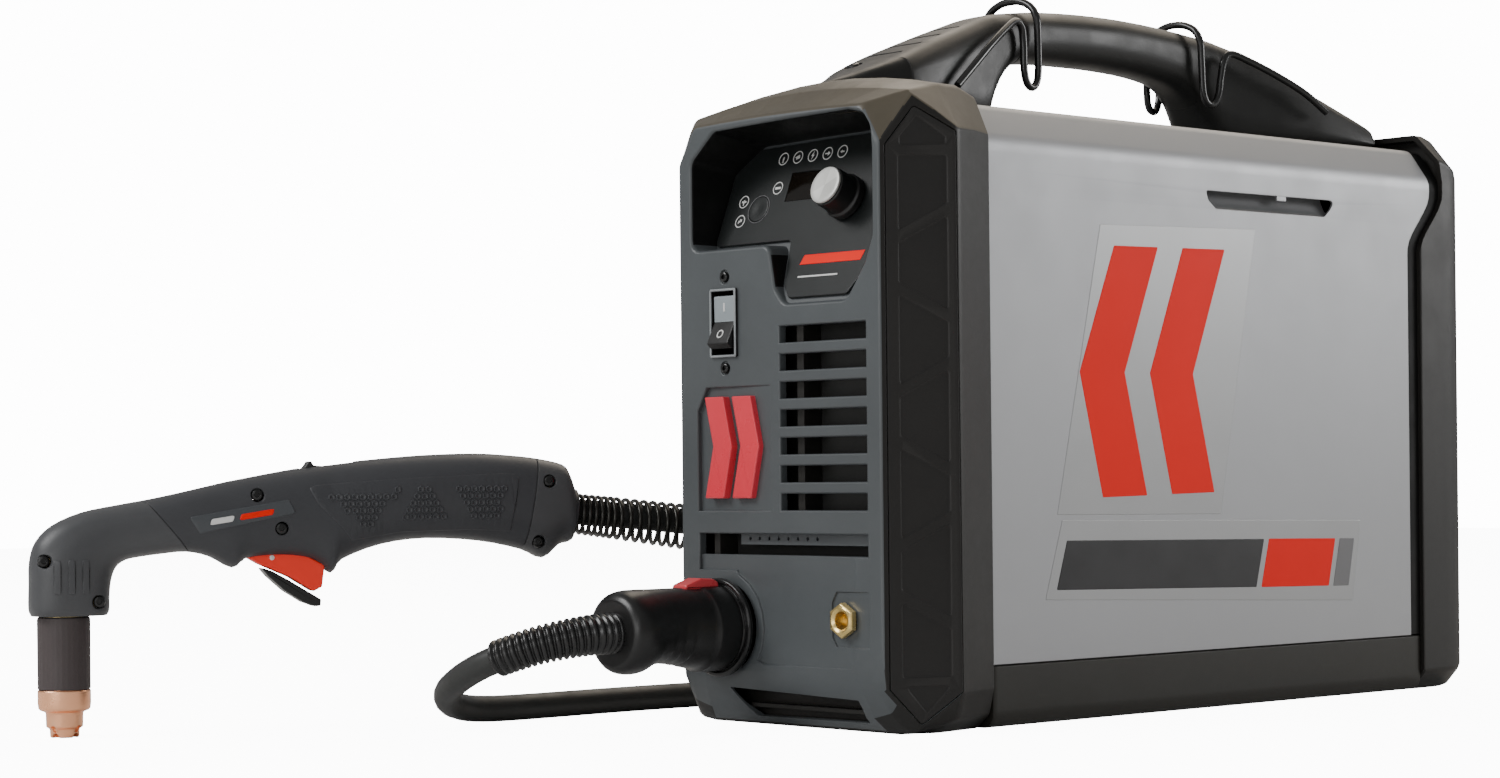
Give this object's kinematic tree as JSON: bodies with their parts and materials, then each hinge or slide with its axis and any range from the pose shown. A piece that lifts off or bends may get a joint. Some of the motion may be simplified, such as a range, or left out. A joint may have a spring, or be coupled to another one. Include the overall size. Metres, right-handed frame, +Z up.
{
  "type": "portable plasma cutting unit",
  "caption": "Portable inverter plasma cutting unit with arched carrying handle, tilted control recess, side louvres, plugged-in hand torch with trigger and a coiled torch lead.",
  "frame": {"origin": "centre of the flat underside of the base pan", "axes": "+Z up, -Y towards the front with the controls, +X towards the side on the right when facing along +Y"},
  "size_m": [0.3608, 0.7094, 0.3605],
  "materials": {
    "front_cap": "fine moulded texture",
    "control_panel": "moulded",
    "display_window": "gloss",
    "adjustment_knob": "moulded",
    "knob_face": "satin",
    "knob_encoder": "plain",
    "mode_button": "moulded",
    "rocker_bezel": "moulded",
    "power_rocker": "moulded",
    "switch_screw_upper": "moulded",
    "switch_screw_lower": "moulded",
    "badge_emblem": "gloss",
    "base_pan": "dark powder coat",
    "side_cover": "silver powder coat",
    "rear_seal": "smooth",
    "rear_cap": "fine moulded texture",
    "handle_front_leg": "moulded",
    "handle_grip": "moulded",
    "handle_rear_leg": "moulded",
    "wire_hook_front": "black coated wire",
    "wire_hook_rear": "black coated wire",
    "divider_panel": "plain",
    "power_board": "circuit board",
    "control_board": "circuit board",
    "heatsink": "satin",
    "transformer_core": "plain",
    "transformer_winding": "bright copper",
    "output_inductor": "bright copper",
    "bulk_capacitor_front": "moulded",
    "bulk_capacitor_rear": "moulded",
    "fan_frame": "moulded",
    "fan_rotor": "moulded",
    "air_inlet_fitting": "machined",
    "air_regulator": "moulded",
    "solenoid_valve": "plain",
    "air_hose": "smooth",
    "torch_socket": "moulded",
    "work_lead_socket": "machined",
    "mains_gland": "moulded",
    "torch_shell_near": "moulded",
    "torch_shell_far": "moulded",
    "retaining_cap": "fibre composite",
    "torch_shield": "bright copper",
    "torch_nozzle": "bright copper",
    "torch_electrode": "bright copper",
    "swirl_ring": "machined",
    "torch_core": "machined",
    "torch_gas_tube": "machined",
    "torch_trigger": "gloss",
    "trigger_safety_lever": "moulded",
    "lock_slider": "moulded",
    "trigger_micro_switch": "moulded",
    "torch_spring_guard": "black coated spring",
    "torch_plug": "moulded",
    "plug_release_button": "gloss",
    "plug_strain_relief": "ribbed",
    "lead_front_run": "smooth",
    "lead_rear_run": "smooth",
    "lead_coil": "smooth",
    "coil_tie": "woven strap"
  },
  "bodies": {
    "power_source": {"front_cap": "front_cap", "control_panel": "control_panel", "display_window": "display_window", "knob_encoder": "knob_encoder", "rocker_bezel": "rocker_bezel", "switch_screw_upper": "switch_screw_upper", "switch_screw_lower": "switch_screw_lower", "badge_emblem": "badge_emblem", "base_pan": "base_pan", "side_cover": "side_cover", "rear_seal": "rear_seal", "rear_cap": "rear_cap", "handle_front_leg": "handle_front_leg", "handle_grip": "handle_grip", "handle_rear_leg": "handle_rear_leg", "wire_hook_front": "wire_hook_front", "wire_hook_rear": "wire_hook_rear", "divider_panel": "divider_panel", "power_board": "power_board", "control_board": "control_board", "heatsink": "heatsink", "transformer_core": "transformer_core", "transformer_winding": "transformer_winding", "output_inductor": "output_inductor", "bulk_capacitor_front": "bulk_capacitor_front", "bulk_capacitor_rear": "bulk_capacitor_rear", "fan_frame": "fan_frame", "air_inlet_fitting": "air_inlet_fitting", "air_regulator": "air_regulator", "solenoid_valve": "solenoid_valve", "air_hose": "air_hose", "torch_socket": "torch_socket", "work_lead_socket": "work_lead_socket", "mains_gland": "mains_gland", "torch_shell_near": "torch_shell_near", "torch_shell_far": "torch_shell_far", "retaining_cap": "retaining_cap", "torch_shield": "torch_shield", "torch_nozzle": "torch_nozzle", "torch_electrode": "torch_electrode", "swirl_ring": "swirl_ring", "torch_core": "torch_core", "torch_gas_tube": "torch_gas_tube", "trigger_micro_switch": "trigger_micro_switch", "torch_spring_guard": "torch_spring_guard", "torch_plug": "torch_plug", "plug_strain_relief": "plug_strain_relief", "lead_front_run": "lead_front_run", "lead_rear_run": "lead_rear_run", "lead_coil": "lead_coil", "coil_tie": "coil_tie"},
    "power_rocker": {"power_rocker": "power_rocker"},
    "adjustment_knob": {"adjustment_knob": "adjustment_knob", "knob_face": "knob_face"},
    "mode_button": {"mode_button": "mode_button"},
    "plug_release_button": {"plug_release_button": "plug_release_button"},
    "fan_rotor": {"fan_rotor": "fan_rotor"},
    "torch_trigger": {"torch_trigger": "torch_trigger"},
    "trigger_safety_lever": {"trigger_safety_lever": "trigger_safety_lever"},
    "lock_slider": {"lock_slider": "lock_slider"}
  },
  "joints": [
    {"name": "power_rocker_tilt", "type": "hinge", "parent": "power_source", "child": "power_rocker", "pos_m": [-0.0365, -0.217, 0.194], "axis": [1, 0, 0], "range_deg": [0, 24]},
    {"name": "knob_turn", "type": "hinge", "parent": "power_source", "child": "adjustment_knob", "pos_m": [0.0295, -0.19965, 0.2495], "axis": [0, -0.9336, 0.3584], "continuous": true},
    {"name": "mode_button_press", "type": "slide", "parent": "power_source", "child": "mode_button", "axis": [0, 0.9336, -0.3584], "range_m": [0, 0.0012], "stiffness_N_per_m": 400, "springref_m": -0.0005},
    {"name": "plug_release_press", "type": "slide", "parent": "power_source", "child": "plug_release_button", "axis": [0, 0, -1], "range_m": [0, 0.0025], "stiffness_N_per_m": 500, "springref_m": -0.001},
    {"name": "fan_spin", "type": "hinge", "parent": "power_source", "child": "fan_rotor", "pos_m": [0, 0.181, 0.14], "axis": [0, 1, 0], "continuous": true},
    {"name": "trigger_squeeze", "type": "hinge", "parent": "power_source", "child": "torch_trigger", "pos_m": [-0.19212, -0.39072, 0.0865], "axis": [0.9195, -0.393, 0], "range_deg": [0, 8], "stiffness_Nm_per_rad": 0.6, "springref_deg": -2.86},
    {"name": "safety_flip", "type": "hinge", "parent": "torch_trigger", "child": "trigger_safety_lever", "pos_m": [-0.18976, -0.3852, 0.076], "axis": [-0.9195, 0.393, 0], "range_deg": [0, 35], "stiffness_Nm_per_rad": 0.02, "springref_deg": -17.19},
    {"name": "lock_slide", "type": "slide", "parent": "power_source", "child": "lock_slider", "axis": [0.393, 0.9195, 0], "range_m": [0, 0.005]}
  ]
}
